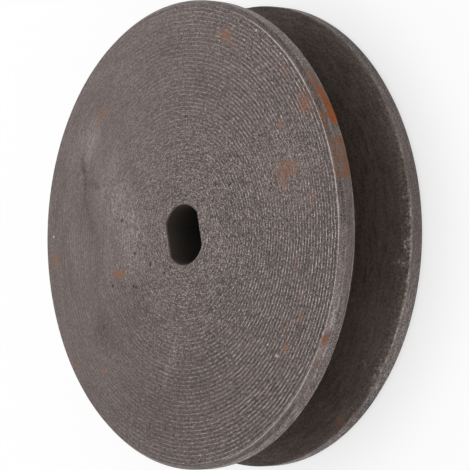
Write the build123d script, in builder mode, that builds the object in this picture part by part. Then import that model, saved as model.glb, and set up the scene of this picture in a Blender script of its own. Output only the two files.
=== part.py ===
from build123d import *
import math
import os

# V-belt pulley with a single groove, turned from one cast blank.
# It has no hub, spokes or fasteners: two flanges of one diameter, the groove between them,
# and a double-D bore that a shaft with two flats drives without a key or set screw.
# It lies on its rear face, with the bore axis along +Z, the front face up and
# the flats of the bore square to X. The origin is the centre of the rear face.

# Driving dimensions in millimetres and degrees
outer_diameter = 94.0
width = 21.7                # from the rear face to the front face

front_rim = 3.4             # from the front face to the groove, at the outer diameter
rear_rim = 3.7              # from the groove to the rear face, at the outer diameter
groove_depth = 12.7         # from the outer diameter to the floor of the groove between them
groove_angle = 36.0         # between the two belt walls
floor_radius = 0.8          # the nose of the tool that turned the groove
lip_break = 0.2             # groove lips, broken all round

bevel_fall = 0.85           # radial size of the turned bevel on each outer edge
bevel_run = 1.1             # its size along the axis

bore_diameter = 12.0        # round part of the double-D bore
bore_across_flats = 10.0    # between its two flats
bore_edge_break = 0.2       # deburred mouth of the bore

# The half section follows from them, measured from the axis and from the rear face
rim_radius = outer_diameter / 2
floor_of_groove = rim_radius - groove_depth
wall_run = groove_depth * math.tan(math.radians(groove_angle / 2))
groove_opening = width - front_rim - rear_rim      # at the outer diameter
front_lip = width - front_rim
rear_lip = front_lip - groove_opening

with BuildPart() as pulley:
    # Turned body: one half section through both flanges and the groove
    with BuildSketch(Plane.XZ) as half_section:
        with BuildLine():
            Polyline(
                (0, 0),
                (rim_radius - bevel_fall, 0),
                (rim_radius, bevel_run),
                (rim_radius, rear_lip),
                (floor_of_groove, rear_lip + wall_run),
                (floor_of_groove, front_lip - wall_run),
                (rim_radius, front_lip),
                (rim_radius, width - bevel_run),
                (rim_radius - bevel_fall, width),
                (0, width),
                close=True,
            )
        make_face()
        floor_corners = half_section.vertices().group_by(Axis.X)[1]
        fillet(floor_corners, floor_radius)
        groove_lips = half_section.vertices().group_by(Axis.X)[-1].sort_by(Axis.Y)[1:3]
        chamfer(groove_lips, lip_break)
    revolve(axis=Axis.Z)

    # Double-D bore, right through
    with BuildSketch(Plane.XY) as bore_section:
        Circle(bore_diameter / 2)
        Rectangle(bore_across_flats, bore_diameter, mode=Mode.INTERSECT)
    extrude(amount=width, mode=Mode.SUBTRACT)

    # Both mouths of the bore are deburred
    front_face = pulley.faces().sort_by(Axis.Z)[-1]
    rear_face = pulley.faces().sort_by(Axis.Z)[0]
    mouth_edges = front_face.inner_wires().edges() + rear_face.inner_wires().edges()
    chamfer(mouth_edges, bore_edge_break)

pulley.part.label = "pulley"

os.makedirs("parts", exist_ok=True)
export_step(pulley.part, "parts/pulley.step")
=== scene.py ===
import math

import bmesh
import bpy
import numpy as np
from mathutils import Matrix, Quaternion, Vector, noise


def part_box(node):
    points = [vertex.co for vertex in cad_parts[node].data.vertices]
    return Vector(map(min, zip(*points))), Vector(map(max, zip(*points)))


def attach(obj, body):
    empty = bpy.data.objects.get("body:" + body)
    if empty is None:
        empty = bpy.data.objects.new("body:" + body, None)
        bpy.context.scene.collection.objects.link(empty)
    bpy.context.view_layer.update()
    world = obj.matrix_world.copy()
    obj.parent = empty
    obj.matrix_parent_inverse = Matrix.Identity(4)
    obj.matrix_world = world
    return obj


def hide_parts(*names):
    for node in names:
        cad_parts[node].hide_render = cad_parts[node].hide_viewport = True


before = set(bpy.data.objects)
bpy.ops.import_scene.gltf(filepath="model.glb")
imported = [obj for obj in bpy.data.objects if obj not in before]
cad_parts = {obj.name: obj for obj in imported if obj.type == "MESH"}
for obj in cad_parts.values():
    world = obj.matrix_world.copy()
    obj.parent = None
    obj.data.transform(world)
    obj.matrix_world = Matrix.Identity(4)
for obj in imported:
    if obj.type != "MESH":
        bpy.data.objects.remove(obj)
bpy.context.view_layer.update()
mm = 0.001


# Camera
# The pulley lies on its rear face. The camera looks down on it from the side and is rolled
# by almost a quarter turn, so that the upright axis of the part points left in the picture.
camera_place = Vector((401.38, -108.02, 357.97)) * mm
camera_aim = Vector((3.48, -0.78, 11.2)) * mm
camera_roll = 88.78            # degrees, clockwise as the camera sees it
camera_lens = 204.49           # for a sensor 36 mm wide

camera = bpy.data.objects.new("camera", bpy.data.cameras.new("camera"))
bpy.context.scene.collection.objects.link(camera)
camera.location = camera_place
level_view = (camera_aim - camera_place).to_track_quat("-Z", "Y")
camera.rotation_mode = "QUATERNION"
camera.rotation_quaternion = level_view @ Quaternion((0, 0, 1), -math.radians(camera_roll))
camera.data.lens = camera_lens
camera.data.sensor_width = 36
camera.data.clip_start = 0.05
camera.data.clip_end = 20
bpy.context.scene.camera = camera


# Turned body
# One grey iron casting, turned all over: two flanges, a V groove and a double-D bore.
# Both faces keep the spiral of a coarse facing cut, and the edges are nicked and rubbed bright.
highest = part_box("pulley")[1]
rim = highest.x / mm           # outer radius, 47
width = highest.z / mm         # face to face, 21.7
bevel_fall = 0.85              # bevel on each outer edge, across the radius
bevel_run = 1.1                # and along the axis
front_rim = 3.4                # from the front face to the groove's lip
groove_opening = 14.6
groove_depth = 12.7
wall_lean = math.radians(18)
fillet = 0.8                   # in the corners of the groove's floor
lip = 0.2                      # broken edge of the groove's lips
bore = 6.0                     # radius of the round part of the bore
half_flats = 5.0               # from the axis to each flat
mouth = 0.2                    # deburred mouth of the bore

feed = 0.82                    # the facing tool's advance in one turn
cut_depth = 0.05               # from a crest of the spiral to its valley
front_rows_per_turn = 3
rear_rows_per_turn = 2
face_columns = 240             # points round each face
ring_columns = 2 * face_columns
crest_flaws = 2.5              # length of the flaws along a crest
valley_waves = 6.0             # and of the waves along a valley
nick_length = 1.3              # of the nicks round each edge

rear_rim = width - front_rim - groove_opening
floor = rim - groove_depth
face_rim = rim - bevel_fall
spiral_start = half_flats - feed
spiral_end = face_rim - 0.1


def column_angles():
    """Angles round the part, with a column on each corner of the double-D bore."""
    ring = np.arange(ring_columns) * 2 * math.pi / ring_columns
    corner = math.acos(half_flats / bore)
    for turn in (corner, math.pi - corner, math.pi + corner, 2 * math.pi - corner):
        nearest = 2 * round(turn / (2 * math.pi) * face_columns)
        ring[nearest] = turn
        ring[nearest - 1] = (ring[nearest - 2] + turn) / 2
        ring[nearest + 1] = (ring[nearest + 2] + turn) / 2
    return ring


ring_angles = column_angles()
face_angles = ring_angles[::2]
bore_edge = np.minimum(bore, half_flats / np.maximum(abs(np.cos(face_angles)), 1e-6))


def row_of_points(angles, radii, height):
    """One row of points round the part, in millimetres."""
    return np.stack([radii * np.cos(angles), radii * np.sin(angles), height + 0 * angles], 1)


def spiral_face(height, down, rows_per_turn):
    """The rows of one face from the bore to its rim. Each row follows the tool's spiral, so a
    turn ends one feed further out. Rows off the face lie on its edge. A crest is worn down in
    flaws, and a valley waves up and down by at most half of the cut."""
    step = feed / rows_per_turn
    inner = bore_edge + mouth
    count = int((spiral_end - spiral_start) / step) + rows_per_turn + 3
    rows = []
    for k in range(count):
        nominal = spiral_start + step * k + feed * face_angles / (2 * math.pi)
        radii = np.clip(nominal, inner, spiral_end)
        on_crest = k % rows_per_turn == 0
        depth = np.zeros(face_columns)
        for j in np.flatnonzero((nominal > inner) & (nominal < spiral_end)):
            place = Vector((math.cos(face_angles[j]), math.sin(face_angles[j]), 0)) * radii[j]
            place.z = height
            if on_crest:
                depth[j] = cut_depth * max(0.0, 0.18 + 0.3 * noise.noise(place / crest_flaws))
            else:
                depth[j] = cut_depth * (1 + 0.5 * noise.noise(place / valley_waves))
        rows.append(row_of_points(face_angles, radii, height - down * depth))
    return rows


def flange_section(rim_width):
    """Stations (radius, distance from the face, deepest nick) of one flange, from its face to
    near the middle of the groove's floor. A pair of close stations keeps each corner narrow."""
    close = 0.07
    slope = Vector((bevel_fall, bevel_run)).normalized()
    bevel_top = Vector((face_rim, 0))
    bevel_end = Vector((rim, bevel_run))
    # Over the corner of the face and across the bevel
    stations = [(face_rim - close / 2, 0, 0.008)]
    stations += [(*(bevel_top + slope * close), 0.012)]
    stations += [(*bevel_top.lerp(bevel_end, t), 0.01) for t in (0.35, 0.65)]
    stations += [(*(bevel_end - slope * close), 0.012), (rim, bevel_run + close, 0.012)]
    # Along the plain rim and over the broken lip
    plain = np.linspace(bevel_run + 0.4, rim_width - lip - 0.25, 4)
    stations += [(rim, distance, 0.0) for distance in plain]
    stations += [(rim, rim_width - lip, 0.04), (rim - 0.05, rim_width - 0.05, 0.1)]
    stations += [(rim - lip, rim_width + lip / 2, 0.05)]
    # Down the wall, closer together near the lip, and round the fillet into the floor
    foot = rim - floor - fillet * (1 - math.sin(wall_lean))
    depths = [0.5, 0.9, 1.6, 2.6] + list(np.linspace(3.6, foot, 9))
    for depth in depths:
        stations.append((rim - depth, rim_width + depth * math.tan(wall_lean), 0.0))
    bend = stations[-1][1] + fillet * math.cos(wall_lean)
    for turn in np.linspace(math.pi / 2 + wall_lean, math.pi, 4)[1:]:
        radius = floor + fillet + fillet * math.cos(turn)
        stations.append((radius, bend - fillet * math.sin(turn), 0.0))
    stations.append((floor, rim_width + groove_opening / 2 - 0.9, 0.0))
    return stations


def nicked_row(radius, height, deepest):
    """A row round the rim. The noise makes a shallow nick where it is above 0.08, and the
    threshold leaves the edge whole elsewhere."""
    radii = np.full(ring_columns, float(radius))
    if deepest:
        for j, turn in enumerate(ring_angles):
            place = Vector((math.cos(turn), math.sin(turn), 0)) * rim / nick_length
            place.z = round(height)
            radii[j] -= deepest * max(0.0, 2.5 * noise.noise(place) - 0.2)
    return row_of_points(ring_angles, radii, height)


front_section = [(r, width - d, nick) for r, d, nick in flange_section(front_rim)]
rear_section = [(r, d, nick) for r, d, nick in flange_section(rear_rim)]
section = front_section + rear_section[::-1]
front_rows = spiral_face(width, 1, front_rows_per_turn)
rear_rows = spiral_face(0.0, -1, rear_rows_per_turn)
ring_rows = [nicked_row(*station) for station in section]
bore_heights = [width - mouth] + list(np.linspace(width - 0.6, 0.6, 11)) + [mouth]
bore_rows = [row_of_points(face_angles, bore_edge, z) for z in bore_heights]

rows = front_rows + ring_rows + rear_rows + bore_rows
starts = list(np.cumsum([0] + [len(row) for row in rows]))
front_at = starts[: len(front_rows)]
ring_at = starts[len(front_rows): len(front_rows) + len(ring_rows)]
rear_at = starts[len(front_rows) + len(ring_rows): -1 - len(bore_rows)]
bore_at = starts[-1 - len(bore_rows): -1]

faces = []
finish_of = []
FACED, RIM, WALL, BORE = range(4)


def band(upper, lower, columns, finish, flip=False):
    """Quads between two rows of the same count."""
    for j in range(columns):
        k = (j + 1) % columns
        quad = (upper + j, upper + k, lower + k, lower + j)
        faces.append(quad[::-1] if flip else quad)
        finish_of.append(finish)


def spiral_bands(rows_at, per_turn, flip):
    """Quads between the rows of a face. The last column of a row meets the first column
    of the row one turn further on."""
    for a in range(len(rows_at) - 1):
        inner, outer = rows_at[a], rows_at[a + 1]
        for j in range(face_columns - 1):
            quad = (inner + j, inner + j + 1, outer + j + 1, outer + j)
            faces.append(quad if flip else quad[::-1])
            finish_of.append(FACED)
        if a + per_turn + 1 < len(rows_at):
            j = face_columns - 1
            quad = (inner + j, rows_at[a + per_turn], rows_at[a + per_turn + 1], outer + j)
            faces.append(quad if flip else quad[::-1])
            finish_of.append(FACED)


def spread(coarse, fine, flip):
    """Triangles from a face's last row to a ring with twice as many points."""
    for j in range(face_columns):
        a, b = coarse + j, coarse + (j + 1) % face_columns
        f, g, h = fine + 2 * j, fine + 2 * j + 1, fine + (2 * j + 2) % ring_columns
        for triangle in ((a, f, g), (a, g, b), (b, g, h)):
            faces.append(triangle if flip else triangle[::-1])
            finish_of.append(FACED)


spiral_bands(front_at, front_rows_per_turn, False)
spread(front_at[-1], ring_at[0], False)
for i in range(len(ring_at) - 1):
    below_rim = min(section[i][0], section[i + 1][0]) < rim - 0.03
    between_lips = rear_rim - 0.1 < section[i][1] < width - front_rim + 0.1
    finish = WALL if below_rim and between_lips else RIM
    band(ring_at[i], ring_at[i + 1], ring_columns, finish, True)
spread(rear_at[-1], ring_at[-1], True)
spiral_bands(rear_at, rear_rows_per_turn, True)
band(front_at[0], bore_at[0], face_columns, BORE)
for i in range(len(bore_at) - 1):
    band(bore_at[i], bore_at[i + 1], face_columns, BORE)
band(bore_at[-1], rear_at[0], face_columns, BORE)

mesh = bpy.data.meshes.new("turned_body")
mesh.from_pydata((np.concatenate(rows) * mm).tolist(), [], faces)
mesh.polygons.foreach_set("material_index", finish_of)
mesh.polygons.foreach_set("use_smooth", [True] * len(faces))
# Points of different rows that came to lie on one place are welded
work = bmesh.new()
work.from_mesh(mesh)
bmesh.ops.remove_doubles(work, verts=work.verts, dist=0.002 * mm)
bmesh.ops.dissolve_degenerate(work, dist=0.0005 * mm, edges=work.edges)
bmesh.ops.recalc_face_normals(work, faces=work.faces)
work.to_mesh(mesh)
work.free()

pulley = bpy.data.objects.new("turned_body", mesh)
bpy.context.scene.collection.objects.link(pulley)
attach(pulley, "root")
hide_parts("pulley")

# What the iron has picked up: rust, smears of grease, and bare places on the rims and lips.
# On top of these, a painted sheen on the front face, painted shade on the rear rim, and darker
# places on the front bevel.
# A spot on the front face is (turn, radius, half length, half width, lean, strength), in
# degrees and millimetres, with its lean measured from the radius. A spot on the rim or in the
# groove is (turn, distance from the front face, half its turn, half its width, strength).
face_rust = [
    (58.4, 41.2, 1.0, 1.7, 0, 0.8), (53.2, 40.0, 0.6, 0.9, 0, 0.4), (31.6, 44.0, 1.0, 1.2, 0, 0.5),
    (20.5, 43.9, 1.7, 1.9, 0, 0.7), (21.9, 36.3, 0.8, 0.9, 0, 0.6), (16.5, 32.6, 0.7, 1.6, 0, 0.25),
    (7.8, 33.4, 2.3, 1.6, 0, 0.75), (5.3, 35.6, 1.1, 0.9, 0, 0.55), (4.2, 31.8, 1.0, 1.0, 0, 0.75),
    (4.7, 40.0, 0.9, 1.1, 0, 0.35), (-3.4, 38.7, 0.9, 1.5, 0, 0.4),
    (-24.2, 34.7, 0.6, 1.1, 0, 0.45), (-33.5, 37.2, 0.7, 0.9, 0, 0.5),
    (-38.1, 39.2, 0.6, 0.9, 0, 0.6), (-43.1, 36.3, 0.7, 0.9, 0, 0.45),
    (-48.5, 38.2, 0.7, 1.2, 0, 0.6), (-50.4, 40.6, 0.5, 0.9, 0, 0.4),
    (-53.1, 38.3, 0.5, 0.7, 0, 0.35), (-63.1, 39.6, 1.3, 0.5, -20, 0.45),
    (-63.0, 43.3, 0.6, 0.8, 0, 0.3), (-91.5, 35.2, 1.0, 0.8, 0, 0.25),
    (-87.5, 37.7, 0.5, 0.8, 0, 0.4), (-79.7, 39.4, 0.5, 1.6, 0, 0.3),
    (-88.3, 39.8, 0.5, 0.9, 0, 0.35), (-86.5, 43.3, 0.5, 0.9, 0, 0.5),
    (-173.7, 23.3, 0.8, 0.55, 0, 1.2), (-172.3, 21.7, 0.9, 0.6, 0, 1.2),
    (176.8, 19.5, 0.5, 0.6, 0, 0.5), (122.9, 37.0, 1.1, 1.3, 40, 0.6),
    (127.2, 36.8, 0.8, 1.2, 0, 0.55), (143.5, 44.2, 0.8, 1.0, 0, 0.4),
    (172.7, 43.6, 1.0, 1.2, 0, 0.9), (174.1, 41.2, 0.7, 0.9, 0, 0.4),
    (-156.7, 44.6, 0.7, 1.0, 0, 0.5), (-146.5, 38.2, 0.8, 0.9, 0, 0.5),
    (93.2, 23.3, 0.8, 1.0, 0, 0.25), (66.8, 19.3, 0.5, 0.9, 0, 0.4),
    (98.8, 28.0, 1.2, 0.9, 0, 0.25), (114.0, 16.2, 1.3, 1.0, 0, 0.25),
    (123.1, 15.9, 0.6, 1.0, 0, 0.25), (39.1, 21.2, 0.4, 0.7, 0, 0.35),
    (31.6, 23.9, 0.4, 0.7, 0, 0.35), (44.7, 34.8, 0.5, 1.2, 0, 0.25),
]
rim_rust = [
    (27.0, 1.3, 1.6, 0.5, 0.7), (24.5, 1.7, 2.2, 0.6, 1.1), (21.0, 2.1, 2.4, 0.8, 1.4),
    (17.2, 2.5, 2.8, 0.8, 2.2), (14.2, 2.5, 1.5, 0.8, 2.2), (14.8, 0.45, 1.0, 0.4, 1.3),
    (12.3, 0.35, 0.8, 0.3, 0.8), (9.0, 2.1, 0.7, 0.5, 1.2), (7.6, 2.7, 1.0, 0.5, 1.6),
    (4.2, 3.1, 2.4, 0.4, 1.15), (0.9, 2.9, 1.1, 0.6, 1.4), (-0.4, 1.5, 0.6, 1.0, 1.1),
    (2.0, 0.4, 2.0, 0.35, 0.8), (7.0, 0.5, 2.2, 0.3, 0.7), (4.2, 1.6, 2.8, 1.0, 0.75),
    (-25.0, 0.5, 1.8, 0.3, 0.3), (-39.6, 0.45, 1.3, 0.35, 1.3), (-45.7, 0.45, 0.8, 0.3, 0.8),
    (-36.3, 0.4, 1.0, 0.2, 0.5), (-67.0, 17.7, 1.3, 0.35, 0.6), (-69.0, 17.9, 0.9, 0.3, 0.4),
    (-56.6, 17.2, 1.2, 0.3, 0.2),
]
# Grease is dark where its strength is above 0, and below 0 the face is painted pale, as a painted
# sheen.
face_grease_and_sheen = [
    (143.3, 36.2, 1.6, 0.45, -47, 1.9), (148.8, 34.3, 1.7, 0.4, -76, 2.2),
    (156.0, 32.6, 2.2, 0.6, -61, 1.2), (162.8, 30.8, 1.4, 0.9, -73, 0.6),
    (146.6, 31.8, 2.2, 0.6, 4, 1.1), (147.5, 34.6, 0.6, 0.8, 0, 1.9),
    (152.0, 33.5, 1.6, 5.0, 0, 0.5), (170.0, 29.0, 1.0, 4.0, 0, 0.4),
    (176.0, 40.0, 2.0, 5.0, 0, 0.3), (-156.5, 32.8, 2.4, 2.2, 0, 1.2),
    (-150.5, 31.6, 1.8, 2.4, 0, 0.8), (-150.0, 22.0, 4.0, 5.0, 0, 0.5),
    (-86.0, 26.5, 2.4, 2.6, 0, 0.5), (-93.0, 30.0, 2.4, 3.0, 0, 0.6),
    (-101.0, 28.5, 2.4, 3.0, 0, 0.4), (-120.0, 36.0, 4.0, 7.0, 0, 0.5),
    (2.0, 15.0, 3.0, 4.0, 0, 0.5), (-20.0, 22.0, 3.0, 5.0, 0, 0.4), (88.0, 37.0, 2.4, 6.0, 0, 0.35),
    (64.0, 30.5, 2.4, 4.0, 0, 0.4), (155.0, 42.6, 1.6, 6.0, 0, 0.4), (104.0, 9.5, 1.4, 2.6, 0, 0.6),
    (45.0, 14.6, 0.6, 3.0, 70, 0.5), (-60.0, 18.0, 4.0, 6.0, 0, 0.5),
    (135.0, 36.5, 2.0, 4.0, 0, -1.0), (142.0, 28.0, 2.6, 4.5, 0, -0.9),
    (148.0, 22.5, 3.0, 4.0, 0, -1.1), (160.0, 17.5, 3.2, 4.0, 0, -1.1),
    (178.0, 17.5, 3.0, 4.0, 0, -0.7), (-110.3, 24.0, 2.4, 0.5, -4, -0.9),
    (-114.4, 28.5, 2.4, 0.5, -4, -0.9), (172.0, 24.5, 2.0, 4.0, 0, -0.4),
    (168.0, 36.5, 1.2, 5.0, 0, -0.4),
]
# Bare iron is above 0. Below 0 the front bevel is painted darker, and the rear rim is painted
# darker as painted shade.
rim_bare_and_shade = [
    (-34.0, 0.75, 2.6, 0.3, 1.9), (-29.5, 0.8, 2.0, 0.25, 1.2), (-15.0, 0.0, 6.0, 0.2, 0.5),
    (-54.0, 0.0, 8.0, 0.2, 1.1), (-72.0, 0.0, 9.0, 0.2, 0.9), (36.0, 0.0, 12.0, 0.2, 0.95),
    (-1.0, 0.0, 11.0, 0.2, 1.1), (-1.0, 0.65, 11.0, 0.3, -0.5), (-42.0, 2.2, 18.0, 1.2, 0.4),
    (-38.0, 19.5, 14.0, 1.5, 0.6), (45.0, 0.6, 15.0, 0.35, -0.5), (15.0, 0.6, 14.0, 0.3, -0.5),
    (48.0, 20.0, 16.0, 1.2, -1.2), (-66.0, 20.0, 9.0, 1.3, -0.35), (-34.0, 0.55, 16.0, 0.5, 0.85),
    (-68.0, 0.65, 9.0, 0.3, -0.4), (-7.5, 17.8, 6.5, 0.35, 0.6), (-16.5, 17.75, 2.5, 0.35, 0.95),
    (-20.7, 17.5, 1.2, 0.45, 0.9), (-21.0, 17.0, 0.5, 0.5, 0.8), (-28.0, 18.08, 20.0, 0.1, 1.3),
    (-49.5, 17.8, 5.0, 0.25, 0.8), (-49.3, 16.75, 2.0, 0.3, 0.75), (-56.0, 17.15, 1.1, 0.25, 0.7),
    (-52.5, 16.6, 1.2, 0.2, 0.75),
]


def fade(reach):
    """1 over the middle of a spot, falling to 0 at twice its size."""
    return np.clip(1.3 - 0.65 * reach, 0, 1)


def paint(mesh, name, face_spots, rim_spots):
    """Writes one number for each point of mesh: 0 off the spots, and a spot's strength on it."""
    place = np.empty(len(mesh.vertices) * 3)
    mesh.vertices.foreach_get("co", place)
    x, y, z = place.reshape(-1, 3).T / mm
    away = np.hypot(x, y)
    turned = np.degrees(np.arctan2(y, x))
    from_front = width - z
    on_face = from_front < 0.3
    beyond_face = (away > face_rim - 0.3) | (from_front > 4)
    level = np.zeros(len(x))
    for turn, radius, half_length, half_width, lean, strength in face_spots:
        ahead = np.radians((turned - turn + 180) % 360 - 180)
        out = away * np.cos(ahead) - radius
        across = away * np.sin(ahead)
        c, s = math.cos(math.radians(lean)), math.sin(math.radians(lean))
        along = out * c + across * s
        aside = across * c - out * s
        reach = np.hypot(along / half_length, aside / half_width)
        near = np.where(on_face, strength * fade(reach), 0)
        level = np.where(abs(near) > abs(level), near, level)
    for turn, distance, half_turn, half_width, strength in rim_spots:
        ahead = (turned - turn + 180) % 360 - 180
        reach = np.hypot(ahead / half_turn, (from_front - distance) / half_width)
        near = np.where(beyond_face, strength * fade(reach), 0)
        level = np.where(abs(near) > abs(level), near, level)
    layer = mesh.attributes.new(name, "FLOAT", "POINT")
    layer.data.foreach_set("value", level.astype(np.float32))


paint(mesh, "rust", face_rust, rim_rust)
paint(mesh, "grease_and_sheen", face_grease_and_sheen, [])
paint(mesh, "bare_and_shade", [], rim_bare_and_shade)


def from_hex(colour):
    """An sRGB hex colour as linear RGBA."""
    parts = [int(colour[i: i + 2], 16) / 255 for i in (1, 3, 5)]
    return [c / 12.92 if c <= 0.04045 else ((c + 0.055) / 1.055) ** 2.4 for c in parts] + [1.0]


def add(tree, kind, out=0, inputs=None, **settings):
    """Adds one node, sets it, fills its inputs with values or links, and returns one output."""
    made = tree.nodes.new("ShaderNode" + kind)
    for name, value in settings.items():
        setattr(made, name, value)
    for name, value in (inputs or {}).items():
        if isinstance(value, bpy.types.NodeSocket):
            tree.links.new(value, made.inputs[name])
        else:
            made.inputs[name].default_value = value
    return made.outputs[out] if made.outputs else made


def start_iron(name):
    """A material whose places are in millimetres: (material, tree, place, outward, away, height)."""
    made = bpy.data.materials.new(name)
    made.use_nodes = True
    tree = made.node_tree
    tree.nodes.clear()
    here = add(tree, "TexCoord", out="Object")
    place = add(tree, "VectorMath", operation="SCALE", inputs={0: here, "Scale": 1 / mm})
    flat = add(tree, "VectorMath", operation="MULTIPLY", inputs={0: place, 1: (1, 1, 0)})
    away = add(tree, "VectorMath", out="Value", operation="LENGTH", inputs={0: flat})
    outward = add(tree, "VectorMath", operation="NORMALIZE", inputs={0: flat})
    height = add(tree, "SeparateXYZ", out="Z", inputs={0: place})
    return made, tree, place, outward, away, height


def finish_iron(tree, place, colour, roughness, relief, relief_mm):
    """Lays rust over the bare colour, and ends the material as oxidised cast iron."""
    rust_here = add(tree, "Attribute", out="Fac", attribute_name="rust")
    crust = 1.1                # size of the patches that the rust breaks into
    edge = add(tree, "TexNoise",
               inputs={"Vector": place, "Scale": 1 / crust, "Detail": 4.0, "Roughness": 0.7})
    edge = add(tree, "MapRange", inputs={0: edge, 1: 0.25, 2: 0.75, 3: 0.25, 4: 1.5})
    rusted = add(tree, "Math", operation="MULTIPLY", inputs={0: rust_here, 1: edge})
    thick = add(tree, "MapRange", inputs={0: rusted, 1: 0.75, 2: 1.25})
    film = add(tree, "MapRange", interpolation_type="SMOOTHSTEP",
               inputs={0: rusted, 1: 0.02, 2: 1.1, 4: 0.75})
    rusted = add(tree, "Math", operation="MAXIMUM", inputs={0: film, 1: thick})
    blotch = add(tree, "MapRange", inputs={0: edge, 1: 0.6, 2: 1.1})
    scale = add(tree, "Mix", out=2, data_type="RGBA",
                inputs={0: blotch, 6: from_hex("#8a5636"), 7: from_hex("#b4622e")})
    rust = add(tree, "Mix", out=2, data_type="RGBA",
               inputs={0: thick, 6: from_hex("#98694a"), 7: scale})
    colour = add(tree, "Mix", out=2, data_type="RGBA", inputs={0: rusted, 6: colour, 7: rust})
    roughness = add(tree, "Mix", data_type="FLOAT", inputs={0: rusted, 2: roughness, 3: 0.9})
    # The brown oxide film hides half of the metal, and rust hides all of it
    metallic = add(tree, "MapRange", inputs={0: rusted, 1: 0.0, 2: 1.0, 3: 0.5, 4: 0.0})
    bump = add(tree, "Bump", inputs={"Height": relief, "Distance": relief_mm * mm, "Strength": 1.0})
    surface = add(tree, "BsdfPrincipled", inputs={
        "Base Color": colour, "Roughness": roughness, "Metallic": metallic, "Normal": bump})
    add(tree, "OutputMaterial", inputs={"Surface": surface})


# Faced iron: grey cast iron faced with a coarse feed and left to oxidise brown.
# The eye gets fine pale spiral lines over a gritty brown-grey ground full of dark pits.
faced, tree, place, outward, away, height = start_iron("faced_cast_iron")
outward_x = add(tree, "SeparateXYZ", inputs={0: outward})
outward_y = outward_x.node.outputs["Y"]
turns = add(tree, "Math", operation="ARCTAN2", inputs={0: outward_y, 1: outward_x})
turns = add(tree, "Math", operation="DIVIDE", inputs={0: turns, 1: 2 * math.pi})
from_start = add(tree, "Math", operation="SUBTRACT", inputs={0: away, 1: spiral_start})
turn_count = add(tree, "Math", operation="DIVIDE", inputs={0: from_start, 1: feed})
phase = add(tree, "Math", operation="SUBTRACT", inputs={0: turn_count, 1: turns})
waver_length = 5.0             # over which a line strays by a part of the feed
waver = add(tree, "TexNoise",
            inputs={"Vector": place, "Scale": 1 / waver_length, "Detail": 4.0, "Roughness": 0.6})
waver = add(tree, "MapRange", inputs={0: waver, 1: 0.0, 2: 1.0, 3: -0.4, 4: 0.4})
phase = add(tree, "Math", operation="ADD", inputs={0: phase, 1: waver})
phase = add(tree, "Math", operation="FRACT", inputs={0: phase})
off_valley = add(tree, "Math", operation="SUBTRACT", inputs={0: phase, 1: 0.5})
off_valley = add(tree, "Math", operation="ABSOLUTE", inputs={0: off_valley})
crest = add(tree, "MapRange", interpolation_type="SMOOTHSTEP",
            inputs={0: off_valley, 1: 0.3, 2: 0.5})
# Grit of the iron, with pits where grains broke out, in a pattern of their own. Its grains
# of about 0.2 mm are drawn at 0.27 mm, so that they show.
grain_size = 0.27
pit_size = 0.35
grit = add(tree, "TexNoise", inputs={"Vector": place, "Scale": 1 / grain_size, "Detail": 0.0})
grit = add(tree, "MapRange", inputs={0: grit, 1: 0.3, 2: 0.7, 3: -1.0, 4: 1.0})
pits = add(tree, "TexNoise", noise_dimensions="4D",
           inputs={"Vector": place, "Scale": 1 / pit_size, "Detail": 1.0, "W": 3.0})
pits = add(tree, "MapRange", inputs={0: pits, 1: 0.42, 2: 0.3})
# Scores that the tool drew in the grit
score_length = 0.8
score_width = 0.25
around = add(tree, "VectorMath", operation="SCALE", inputs={0: place, "Scale": 1 / score_length})
depthwise = add(tree, "Math", operation="DIVIDE", inputs={0: away, 1: score_width})
depthwise = add(tree, "CombineXYZ", inputs={2: depthwise})
scores = add(tree, "VectorMath", operation="ADD", inputs={0: around, 1: depthwise})
scores = add(tree, "TexNoise", inputs={"Vector": scores, "Scale": 1.0, "Detail": 0.0})
scores = add(tree, "MapRange", inputs={0: scores, 1: 0.3, 2: 0.7, 3: -1.0, 4: 1.0})
# Chatter of the tool: each turn is paler or darker than the next, and changes along its length
chatter_length = 5.0
turn_to_turn = 1.7             # how far apart in the noise two turns lie
around = add(tree, "VectorMath", operation="SCALE",
             inputs={0: outward, "Scale": rim / chatter_length})
depthwise = add(tree, "Math", operation="MULTIPLY", inputs={0: turn_count, 1: turn_to_turn})
depthwise = add(tree, "CombineXYZ", inputs={2: depthwise})
along_line = add(tree, "VectorMath", operation="ADD", inputs={0: around, 1: depthwise})
chatter = add(tree, "TexNoise",
              inputs={"Vector": along_line, "Scale": 1.0, "Detail": 4.0, "Roughness": 0.7})
chatter = add(tree, "MapRange", inputs={0: chatter, 1: 0.32, 2: 0.68})
# Streaks of grime wiped round the face
streak_length = 10.0
streak_width = 1.5
around = add(tree, "VectorMath", operation="SCALE",
             inputs={0: outward, "Scale": rim / streak_length})
depthwise = add(tree, "Math", operation="DIVIDE", inputs={0: away, 1: streak_width})
depthwise = add(tree, "CombineXYZ", inputs={2: depthwise})
mottle = add(tree, "VectorMath", operation="ADD", inputs={0: around, 1: depthwise})
mottle = add(tree, "TexNoise",
             inputs={"Vector": mottle, "Scale": 1.0, "Detail": 5.0, "Roughness": 0.75})
mottle = add(tree, "MapRange", inputs={0: mottle, 1: 0.3, 2: 0.7, 3: -1.0, 4: 1.0})
# The cut and its grit show best on one half of the face and fainter on the other, apart from
# the bore's surround and one gritty patch. The face is also painted paler towards one side and
# darker towards the other, as painted light and shade.
toward_rough = (0.93, -0.37, 0)
toward_painted_light = (-0.32, 0.95, 0)
gritty_patch = Vector((33, 4, width))
rough_side = add(tree, "VectorMath", out="Value", operation="DOT_PRODUCT",
                 inputs={0: place, 1: toward_rough})
clear = add(tree, "MapRange", inputs={0: rough_side, 1: -0.5 * rim, 2: 0.9 * rim, 3: 0.1, 4: 1.3})
gritty = add(tree, "MapRange", inputs={0: rough_side, 1: -0.6 * rim, 2: 0.6 * rim, 3: 0.4, 4: 1.2})
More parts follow.
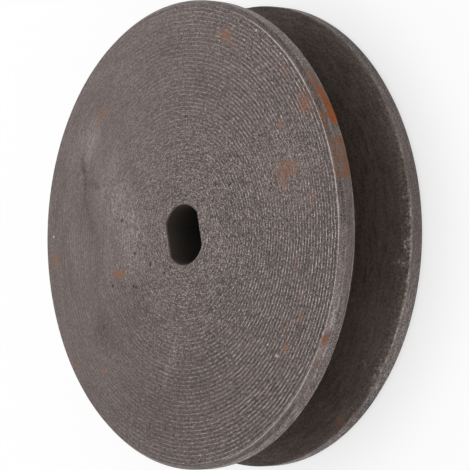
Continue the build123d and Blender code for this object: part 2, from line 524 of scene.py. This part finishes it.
# Painted light and shade: paler towards one side of the face, darker towards the other
painted_light_side = add(tree, "VectorMath", out="Value", operation="DOT_PRODUCT",
                inputs={0: place, 1: toward_painted_light})
painted_light = add(tree, "MapRange", inputs={0: painted_light_side, 1: -rim, 2: rim, 3: -0.035, 4: 0.035})
outer = add(tree, "MapRange", inputs={0: away, 1: 12.0, 2: 26.0, 3: 0.4, 4: 1.0})
clear = add(tree, "Math", operation="MULTIPLY", inputs={0: clear, 1: outer})
from_patch = add(tree, "VectorMath", out="Value", operation="DISTANCE",
                 inputs={0: place, 1: gritty_patch})
patchy = add(tree, "MapRange", inputs={0: from_patch, 1: 4.0, 2: 14.0, 3: 0.3, 4: 1.0})
clear = add(tree, "Math", operation="MULTIPLY", inputs={0: clear, 1: patchy})
lines = add(tree, "Math", operation="MULTIPLY_ADD", inputs={0: chatter, 1: 0.28, 2: 0.2})
lines = add(tree, "Math", operation="MULTIPLY_ADD", inputs={0: crest, 1: lines, 2: -0.12})
tone = add(tree, "Math", operation="MULTIPLY", inputs={0: lines, 1: clear})
speckle = add(tree, "Math", operation="MULTIPLY", inputs={0: pits, 1: -0.2})
speckle = add(tree, "Math", operation="MULTIPLY_ADD", inputs={0: grit, 1: 0.17, 2: speckle})
speckle = add(tree, "Math", operation="MULTIPLY_ADD", inputs={0: scores, 1: 0.11, 2: speckle})
coarse = add(tree, "MapRange", inputs={0: away, 1: 14.0, 2: 30.0, 3: 1.4, 4: 0.95})
gritty = add(tree, "Math", operation="MULTIPLY", inputs={0: gritty, 1: coarse})
tone = add(tree, "Math", operation="MULTIPLY_ADD", inputs={0: speckle, 1: gritty, 2: tone})
smeared = add(tree, "Math", operation="MULTIPLY_ADD", inputs={0: clear, 1: -0.04, 2: 0.06})
tone = add(tree, "Math", operation="MULTIPLY_ADD", inputs={0: mottle, 1: smeared, 2: tone})
tone = add(tree, "Math", operation="ADD", inputs={0: tone, 1: painted_light})
# Smears of grease darken the face, and below 0 a painted sheen lightens it, both broken up by
# the grain under them
smear_breaks = 0.9
grease_and_sheen = add(tree, "Attribute", out="Fac", attribute_name="grease_and_sheen")
broken = add(tree, "TexNoise",
             inputs={"Vector": place, "Scale": 1 / smear_breaks, "Detail": 2.0, "Roughness": 0.7})
broken = add(tree, "MapRange", inputs={0: broken, 1: 0.35, 2: 0.65, 3: 0.3, 4: 1.6})
grease_and_sheen = add(tree, "Math", operation="MULTIPLY", inputs={0: grease_and_sheen, 1: broken})
tone = add(tree, "Math", operation="MULTIPLY_ADD", inputs={0: grease_and_sheen, 1: -0.09, 2: tone})
# The edge of the face is rubbed bright in places
wear_and_shade = add(tree, "MapRange", interpolation_type="SMOOTHSTEP",
           inputs={0: away, 1: spiral_end, 2: face_rim})
bare_and_shade = add(tree, "Attribute", out="Fac", attribute_name="bare_and_shade")
wear_and_shade = add(tree, "Math", operation="MULTIPLY", inputs={0: wear_and_shade, 1: bare_and_shade})
tone = add(tree, "Math", operation="MULTIPLY_ADD", inputs={0: wear_and_shade, 1: 0.55, 2: tone})
# Flakes of lint caught on the cut are white, and single blow holes of the casting are black.
# Each is (turn, radius, half its width).
flakes = [
    (166.3, 43.9, 0.3), (-53.3, 33.7, 0.25), (-53.1, 37.2, 0.45), (-96.4, 44.3, 0.25),
    (61.6, 25.9, 0.2), (50.3, 42.1, 0.25), (36.0, 45.2, 0.25), (47.1, 45.2, 0.3),
]
holes = [
    (157.2, 20.4, 0.5), (179.9, 16.2, 0.35), (-165.1, 12.2, 0.5), (-142.4, 9.8, 0.4),
    (-159.0, 18.6, 0.4), (-161.0, 19.2, 0.35), (-169.5, 25.3, 0.4), (-136.9, 7.7, 0.35),
    (75.6, 23.6, 0.35), (30.1, 34.4, 0.35), (20.5, 17.1, 0.4), (32.1, 14.1, 0.4),
]
for spots, gain in ((flakes, 0.5), (holes, -0.4)):
    for turn, radius, size in spots:
        spot = Quaternion((0, 0, 1), math.radians(turn)) @ Vector((radius, 0, width))
        to_spot = add(tree, "VectorMath", out="Value", operation="DISTANCE",
                      inputs={0: place, 1: spot})
        mark = add(tree, "MapRange", inputs={0: to_spot, 1: 0.5 * size, 2: size, 3: gain, 4: 0.0})
        tone = add(tree, "Math", operation="ADD", inputs={0: tone, 1: mark})
tone = add(tree, "Math", operation="ADD", inputs={0: tone, 1: 0.5})
# From the bottom of a pit, over the oxide film, to bare iron
ramp = add(tree, "ValToRGB", inputs={0: tone})
stops = ramp.node.color_ramp.elements
stops[0].color = from_hex("#14100e")
stops[1].color = from_hex("#c4b9b4")
for position, colour in ((0.25, "#3f3532"), (0.5, "#645855"), (0.75, "#918682")):
    stops.new(position).color = from_hex(colour)
relief = add(tree, "Math", operation="MULTIPLY_ADD", inputs={0: grit, 1: 0.3, 2: crest})
finish_iron(tree, place, colour=ramp, roughness=0.5, relief=relief, relief_mm=0.02)

# Turned rims: the same iron, cut with a finer feed, so the eye gets a smooth brown-grey band
# of thin gritty lines, darker on the bevels and rubbed pale on the corners beside them, with
# painted shade on the bevel that the part lies on and on the rear rim.
rim_line_length = 3.0
rim_line_pitch = 0.3
rims, tree, place, outward, away, height = start_iron("turned_cast_iron")
around = add(tree, "VectorMath", operation="SCALE",
             inputs={0: outward, "Scale": rim / rim_line_length})
lengthwise = add(tree, "Math", operation="DIVIDE", inputs={0: height, 1: rim_line_pitch})
lengthwise = add(tree, "CombineXYZ", inputs={2: lengthwise})
line_place = add(tree, "VectorMath", operation="ADD", inputs={0: around, 1: lengthwise})
lines = add(tree, "TexNoise",
            inputs={"Vector": line_place, "Scale": 1.0, "Detail": 3.0, "Roughness": 0.8})
lines = add(tree, "MapRange", inputs={0: lines, 1: 0.3, 2: 0.7, 3: -1.0, 4: 1.0})
grain = add(tree, "TexNoise", inputs={"Vector": place, "Scale": 1 / grain_size, "Detail": 0.0})
grain = add(tree, "MapRange", inputs={0: grain, 1: 0.3, 2: 0.7, 3: -1.0, 4: 1.0})
wear_length = 3.0
wear = add(tree, "TexNoise",
           inputs={"Vector": place, "Scale": 1 / wear_length, "Detail": 4.0, "Roughness": 0.7})
wear = add(tree, "MapRange", inputs={0: wear, 1: 0.35, 2: 0.65})
from_front = add(tree, "Math", operation="SUBTRACT", inputs={0: width, 1: height})
from_face = add(tree, "Math", operation="MINIMUM", inputs={0: height, 1: from_front})
on_bevel = add(tree, "MapRange",
               inputs={0: from_face, 1: bevel_run - 0.1, 2: bevel_run, 3: 1.0, 4: 0.0})
face_corner = add(tree, "MapRange", inputs={0: from_face, 1: 0.0, 2: 0.08, 3: 0.9, 4: 0.0})
rim_corner = add(tree, "Math", operation="SUBTRACT", inputs={0: from_face, 1: bevel_run + 0.1})
rim_corner = add(tree, "Math", operation="ABSOLUTE", inputs={0: rim_corner})
rim_corner = add(tree, "MapRange", inputs={0: rim_corner, 1: 0.05, 2: 0.25, 3: 0.2, 4: 0.0})
# The corners are bare in ragged dashes, and the lips of the groove all round
bare_and_shade = add(tree, "Attribute", out="Fac", attribute_name="bare_and_shade")
barer = add(tree, "Math", operation="MULTIPLY_ADD", inputs={0: wear, 1: 0.7, 2: bare_and_shade})
barer = add(tree, "MapRange", inputs={0: barer, 1: 0.4, 2: 1.2})
wear_and_shade = add(tree, "Math", operation="MULTIPLY", inputs={0: face_corner, 1: barer})
dashes = add(tree, "Math", operation="MULTIPLY_ADD", inputs={0: grain, 1: 0.3, 2: 1.2})
wear_and_shade = add(tree, "Math", operation="MULTIPLY", inputs={0: wear_and_shade, 1: dashes})
wear_and_shade = add(tree, "Math", operation="MULTIPLY_ADD", inputs={0: rim_corner, 1: wear, 2: wear_and_shade})
middle = rear_rim + groove_opening / 2
to_middle = add(tree, "Math", operation="SUBTRACT", inputs={0: height, 1: middle})
to_middle = add(tree, "Math", operation="ABSOLUTE", inputs={0: to_middle})
lip_edge = groove_opening / 2 + lip
lip_corner = add(tree, "MapRange",
                 inputs={0: to_middle, 1: lip_edge + 0.02, 2: lip_edge + 0.2, 3: 0.15, 4: 0.0})
wear_and_shade = add(tree, "Math", operation="ADD", inputs={0: wear_and_shade, 1: lip_corner})
# Below 0 the same numbers paint the front bevel darker and paint shade on the rear rim
wear_and_shade = add(tree, "Math", operation="MULTIPLY_ADD", inputs={0: bare_and_shade, 1: 0.2, 2: wear_and_shade})
# The bevel that the part lies on is painted dark, as painted shade where it meets the floor
rear_bevel_shade = add(tree, "MapRange",
                 inputs={0: height, 1: bevel_run - 0.15, 2: bevel_run + 0.05, 3: -0.4, 4: 0.0})
wear_and_shade = add(tree, "Math", operation="ADD", inputs={0: wear_and_shade, 1: rear_bevel_shade})
# One side of the rims is smoother than the rest, and so are the bevels
toward_smooth = (0.99, -0.13, 0)
gritty = add(tree, "Math", operation="ADD", inputs={0: lines, 1: grain})
smooth_side = add(tree, "VectorMath", out="Value", operation="DOT_PRODUCT",
                  inputs={0: outward, 1: toward_smooth})
rim_grit = add(tree, "MapRange", inputs={0: smooth_side, 1: 0.6, 2: 0.99, 3: 0.3, 4: 0.12})
grit_gain = add(tree, "Mix", data_type="FLOAT", inputs={0: on_bevel, 2: rim_grit, 3: 0.15})
tone = add(tree, "Math", operation="MULTIPLY_ADD", inputs={0: gritty, 1: grit_gain, 2: 0.51})
tone = add(tree, "Math", operation="MULTIPLY_ADD", inputs={0: on_bevel, 1: -0.02, 2: tone})
tone = add(tree, "Math", operation="ADD", inputs={0: tone, 1: wear_and_shade})
ramp = add(tree, "ValToRGB", inputs={0: tone})
stops = ramp.node.color_ramp.elements
stops[0].color = from_hex("#14100e")
stops[1].color = from_hex("#c4b9b4")
for position, colour in ((0.25, "#3f3532"), (0.5, "#6c605c"), (0.75, "#918682")):
    stops.new(position).color = from_hex(colour)
finish_iron(tree, place, colour=ramp, roughness=0.5, relief=lines, relief_mm=0.01)

# Groove walls: iron blackened by belt dust and scuffed round the groove by the belt, so the
# eye gets a dark brown with dull streaks, bare and gritty only close to the lips.
dust_grain = 0.5
scuff_length = 6.0
scuff_width = 0.8
ragged_size = 1.2
wall, tree, place, outward, away, height = start_iron("belt_blackened_iron")
grain = add(tree, "TexNoise",
            inputs={"Vector": place, "Scale": 1 / dust_grain, "Detail": 3.0, "Roughness": 0.8})
grain = add(tree, "MapRange", inputs={0: grain, 1: 0.3, 2: 0.7, 3: -1.0, 4: 1.0})
around = add(tree, "VectorMath", operation="SCALE",
             inputs={0: outward, "Scale": rim / scuff_length})
deep = add(tree, "Math", operation="DIVIDE", inputs={0: away, 1: scuff_width})
deep = add(tree, "CombineXYZ", inputs={2: deep})
scuffs = add(tree, "VectorMath", operation="ADD", inputs={0: around, 1: deep})
scuffs = add(tree, "TexNoise", inputs={
    "Vector": scuffs, "Scale": 1.0, "Detail": 4.0, "Roughness": 0.7, "Distortion": 0.6})
scuffs = add(tree, "MapRange", inputs={0: scuffs, 1: 0.3, 2: 0.7, 3: -1.0, 4: 1.0})
ragged = add(tree, "TexNoise",
             inputs={"Vector": place, "Scale": 1 / ragged_size, "Detail": 4.0, "Roughness": 0.8})
ragged = add(tree, "MapRange", inputs={0: ragged, 1: 0.25, 2: 0.75, 3: -1.0, 4: 1.0})
to_lip = add(tree, "MapRange", inputs={0: away, 1: rim - 3.0, 2: rim - 0.2, 3: 0.0, 4: 0.8})
to_lip = add(tree, "Math", operation="MULTIPLY_ADD", inputs={0: ragged, 1: 0.25, 2: to_lip})
to_lip = add(tree, "MapRange", interpolation_type="SMOOTHSTEP", inputs={0: to_lip, 1: 0.0, 2: 1.0})
bare_and_shade = add(tree, "Attribute", out="Fac", attribute_name="bare_and_shade")
bared = add(tree, "Math", operation="MULTIPLY_ADD", inputs={0: ragged, 1: 0.45, 2: bare_and_shade})
bared = add(tree, "MapRange", inputs={0: bared, 1: 0.55, 2: 0.85})
on_lip = add(tree, "MapRange", inputs={0: away, 1: rim - 0.25, 2: rim - 0.1})
# Painted shade darkens the walls away from one side of the groove, the side where the lips are
# also barer, and dry dust greys one patch of its rear wall
toward_clean_and_lit = (0.97, -0.25, 0)
dust_turn = math.radians(-42)
dust_depth = 7
dust_place = Vector((rim - dust_depth, 0, rear_rim + dust_depth * math.tan(wall_lean)))
dust_patch = Quaternion((0, 0, 1), dust_turn) @ dust_place
clean_and_lit_side = add(tree, "VectorMath", out="Value", operation="DOT_PRODUCT",
                 inputs={0: outward, 1: toward_clean_and_lit})
# Painted shade: darker the further the wall turns from that side
painted_side_shade = add(tree, "MapRange", inputs={0: clean_and_lit_side, 1: 0.4, 2: 1.0, 3: -0.14, 4: 0.0})
lip_gain = add(tree, "MapRange", inputs={0: clean_and_lit_side, 1: 0.5, 2: 0.9, 3: 0.03, 4: 0.12})
to_lip = add(tree, "Math", operation="MULTIPLY", inputs={0: to_lip, 1: lip_gain})
lip_grit = add(tree, "Math", operation="MULTIPLY_ADD", inputs={0: to_lip, 1: 1.6, 2: 0.12})
tone = add(tree, "Math", operation="ADD", inputs={0: to_lip, 1: 0.43})
tone = add(tree, "Math", operation="ADD", inputs={0: tone, 1: painted_side_shade})
from_patch = add(tree, "VectorMath", out="Value", operation="DISTANCE",
                 inputs={0: place, 1: dust_patch})
dust = add(tree, "MapRange", inputs={0: from_patch, 1: 3.0, 2: 13.0, 3: 0.075, 4: 0.0})
tone = add(tree, "Math", operation="ADD", inputs={0: tone, 1: dust})
tone = add(tree, "Math", operation="MULTIPLY_ADD", inputs={0: on_lip, 1: 0.06, 2: tone})
strip = add(tree, "Math", operation="MULTIPLY_ADD", inputs={0: grain, 1: 0.25, 2: 0.17})
tone = add(tree, "Math", operation="MULTIPLY_ADD", inputs={0: bared, 1: strip, 2: tone})
tone = add(tree, "Math", operation="MULTIPLY_ADD", inputs={0: scuffs, 1: 0.09, 2: tone})
tone = add(tree, "Math", operation="MULTIPLY_ADD", inputs={0: grain, 1: lip_grit, 2: tone})
ramp = add(tree, "ValToRGB", inputs={0: tone})
stops = ramp.node.color_ramp.elements
stops[0].color = from_hex("#14100d")
stops[1].color = from_hex("#c4b9b2")
for position, colour in ((0.25, "#3d322d"), (0.5, "#6b5e56"), (0.75, "#91867f")):
    stops.new(position).color = from_hex(colour)
finish_iron(tree, place, colour=ramp, roughness=0.6, relief=grain, relief_mm=0.02)

# Bore: broached and greasy, rusty brown at its mouths, and painted black further in as painted
# shade.
shade_grain = 0.8
painted_shade_depth = 8.0               # depth in the bore at which it is darkest
broached, tree, place, outward, away, height = start_iron("broached_iron")
grain = add(tree, "TexNoise",
            inputs={"Vector": place, "Scale": 1 / shade_grain, "Detail": 3.0, "Roughness": 0.7})
from_front = add(tree, "Math", operation="SUBTRACT", inputs={0: width, 1: height})
inside = add(tree, "Math", operation="MINIMUM", inputs={0: height, 1: from_front})
uneven = add(tree, "Math", operation="MULTIPLY_ADD", inputs={0: grain, 1: 3.0, 2: -1.5})
inside = add(tree, "Math", operation="ADD", inputs={0: inside, 1: uneven})
# Painted shade: the colour runs from the mouths' rusty brown to black with depth
shade = add(tree, "MapRange", inputs={0: inside, 1: 0.0, 2: painted_shade_depth})
ramp = add(tree, "ValToRGB", inputs={0: shade})
stops = ramp.node.color_ramp.elements
stops[0].color = from_hex("#55443b")
stops[1].color = from_hex("#1c191b")
for position, colour in ((0.1, "#5f564e"), (0.45, "#4c4641")):
    stops.new(position).color = from_hex(colour)
finish_iron(tree, place, colour=ramp, roughness=0.6, relief=grain, relief_mm=0.02)

for material in (faced, rims, wall, broached):
    mesh.materials.append(material)


# Studio
# A white floor under a white sky, with one broad lamp overhead. The camera and what mirrors in
# the iron see them as pure white, and the light that they give the iron is dimmer.
sky_light = 0.45               # strength of the sky as a light, where 1 is white
floor_glow = 0.7               # of the floor as the camera sees it
floor_matt = 0.4               # its grey beside that glow, which takes the shadow
floor_bounce = 0.8             # its grey as the iron sees it
floor_reach = 4
lamp_place = Vector((-0.25, 0.1, 0.9))
lamp_aim = Vector((0, 0, 0.01))
lamp_side = 0.7
lamp_watts = 3.0

world = bpy.data.worlds.new("sky")
world.use_nodes = True
bpy.context.scene.world = world
tree = world.node_tree
tree.nodes.clear()
seen = add(tree, "LightPath", out="Is Camera Ray")
seen_by = seen.node.outputs
for ray in ("Is Glossy Ray", "Is Transmission Ray"):
    seen = add(tree, "Math", operation="MAXIMUM", inputs={0: seen, 1: seen_by[ray]})
strength = add(tree, "Mix", data_type="FLOAT", inputs={0: seen, 2: sky_light, 3: 1.0})
sky = add(tree, "Background", inputs={"Color": (1, 1, 1, 1), "Strength": strength})
add(tree, "OutputWorld", inputs={"Surface": sky})

floor_mesh = bpy.data.meshes.new("floor")
corners = [(-floor_reach, -floor_reach, 0), (floor_reach, -floor_reach, 0),
           (floor_reach, floor_reach, 0), (-floor_reach, floor_reach, 0)]
floor_mesh.from_pydata(corners, [], [(0, 1, 2, 3)])
floor_object = bpy.data.objects.new("floor", floor_mesh)
bpy.context.scene.collection.objects.link(floor_object)
white = bpy.data.materials.new("white_floor")
white.use_nodes = True
tree = white.node_tree
tree.nodes.clear()
seen = add(tree, "LightPath", out="Is Camera Ray")
seen_by = seen.node.outputs
for ray in ("Is Glossy Ray", "Is Transmission Ray"):
    seen = add(tree, "Math", operation="MAXIMUM", inputs={0: seen, 1: seen_by[ray]})
matt = add(tree, "BsdfDiffuse", inputs={"Color": (floor_matt, floor_matt, floor_matt, 1)})
glow = add(tree, "Emission", inputs={"Color": (1, 1, 1, 1), "Strength": floor_glow})
lifted = add(tree, "AddShader", inputs={0: matt, 1: glow})
plain = add(tree, "BsdfDiffuse", inputs={"Color": (floor_bounce, floor_bounce, floor_bounce, 1)})
shown = add(tree, "MixShader", inputs={0: seen, 1: plain, 2: lifted})
add(tree, "OutputMaterial", inputs={"Surface": shown})
floor_mesh.materials.append(white)

lamp = bpy.data.objects.new("overhead", bpy.data.lights.new("overhead", "AREA"))
bpy.context.scene.collection.objects.link(lamp)
lamp.location = lamp_place
lamp.rotation_mode = "QUATERNION"
lamp.rotation_quaternion = (lamp_aim - lamp_place).to_track_quat("-Z", "Y")
lamp.data.size = lamp_side
lamp.data.energy = lamp_watts

bpy.context.scene.view_settings.view_transform = "Standard"
